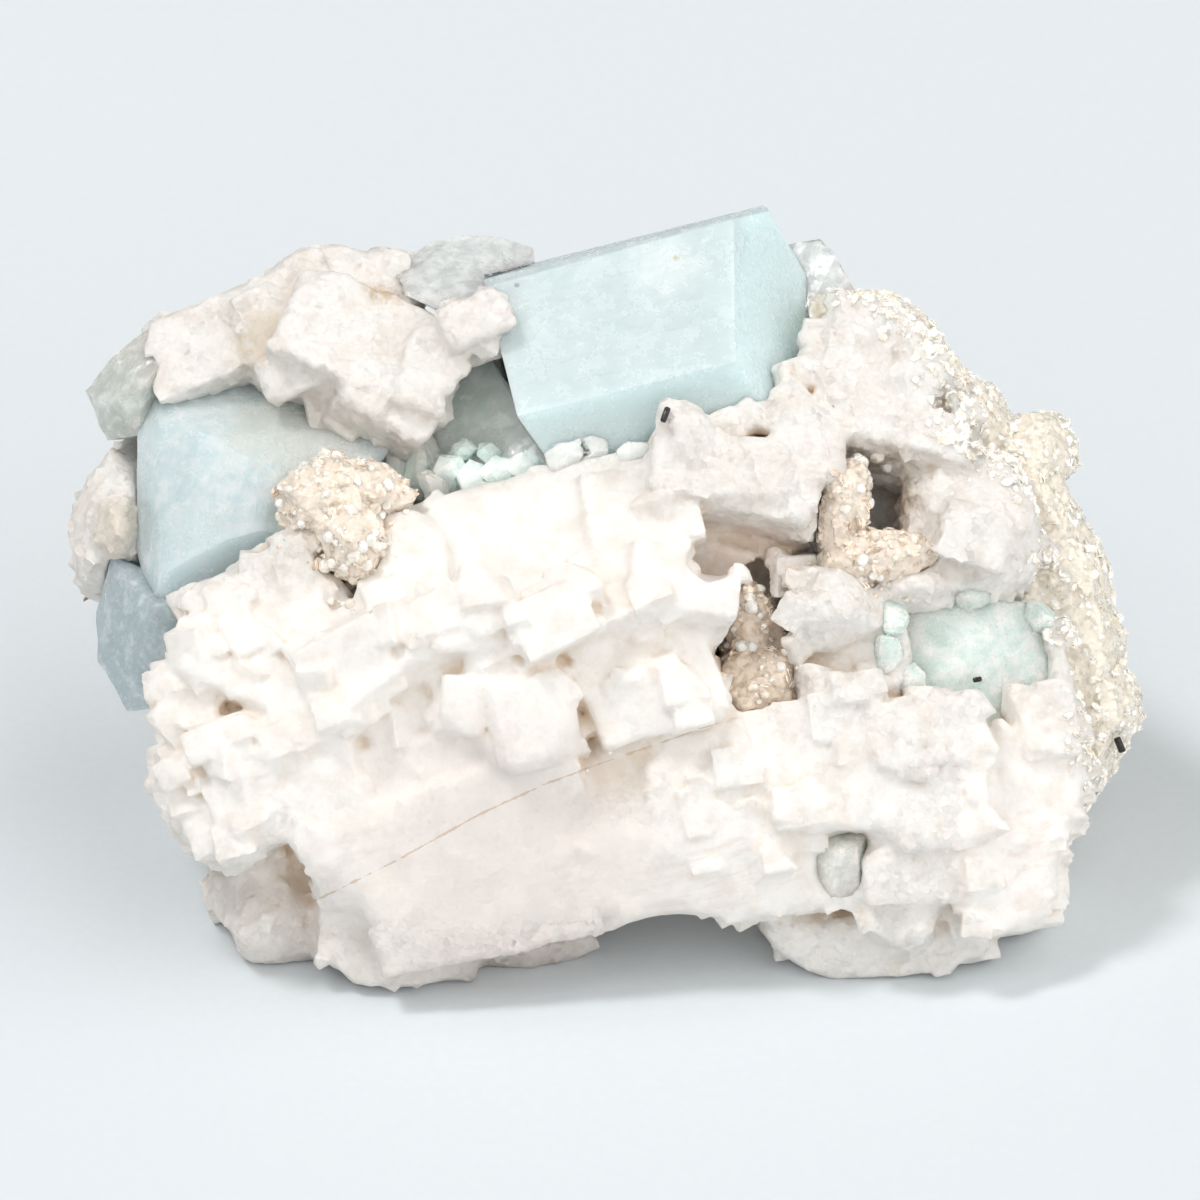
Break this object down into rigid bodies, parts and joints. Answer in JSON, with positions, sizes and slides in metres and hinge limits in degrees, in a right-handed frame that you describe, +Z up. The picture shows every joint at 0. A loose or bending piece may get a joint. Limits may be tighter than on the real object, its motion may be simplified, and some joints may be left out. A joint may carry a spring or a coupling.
{
  "type": "aquamarine specimen on feldspar",
  "caption": "Natural mineral specimen: a pale blue-green aquamarine prism set in white blocky feldspar with silver-tan mica, standing on its broad base for display.",
  "frame": {"origin": "centre of the bounding box, at the flat base that the specimen stands on", "axes": "+Z up, +X along the length of the specimen to the viewer's right, -Y towards the viewer of the display face"},
  "size_m": [0.0893, 0.0546, 0.054],
  "materials": {
    "feldspar": "matt white, blocky cleavage, warm stains in the hollows",
    "aquamarine": "glassy, pale blue-green, clouded by veils inside",
    "aquamarine_etched": "glassy with an etched, striated skin, pale grey-green",
    "aquamarine_dark": "glassy, dark grey-green",
    "beryl_grey": "glassy, grey-green, translucent",
    "beryl_pale": "glassy, very pale green, sugary break",
    "beryl_green": "glassy, green-grey, its top end white",
    "quartz": "glassy, grey, translucent",
    "mica_silver": "stacked flakes, silver-tan, glittering",
    "mica_tan": "small flakes and nuggets, tan to brown",
    "tourmaline": "black, glossy"
  },
  "bodies": {
    "root": {"feldspar_matrix": "feldspar", "aquamarine_main": "aquamarine", "aquamarine_left": "aquamarine_etched", "aquamarine_lower_left": "aquamarine_dark", "beryl_shard_left": "beryl_grey", "quartz_upper_left": "quartz", "aquamarine_rear_right": "beryl_grey", "aquamarine_recess": "aquamarine_dark", "aquamarine_right": "beryl_pale", "beryl_foot": "beryl_green", "muscovite_crust": "mica_silver", "mica_cluster_left": "mica_tan", "mica_cavity_centre": "mica_tan", "mica_pocket_right": "mica_tan", "tourmaline_grain_edge": "tourmaline", "tourmaline_grain_face": "tourmaline", "tourmaline_grain_spur": "tourmaline"}
  },
  "joints": []
}
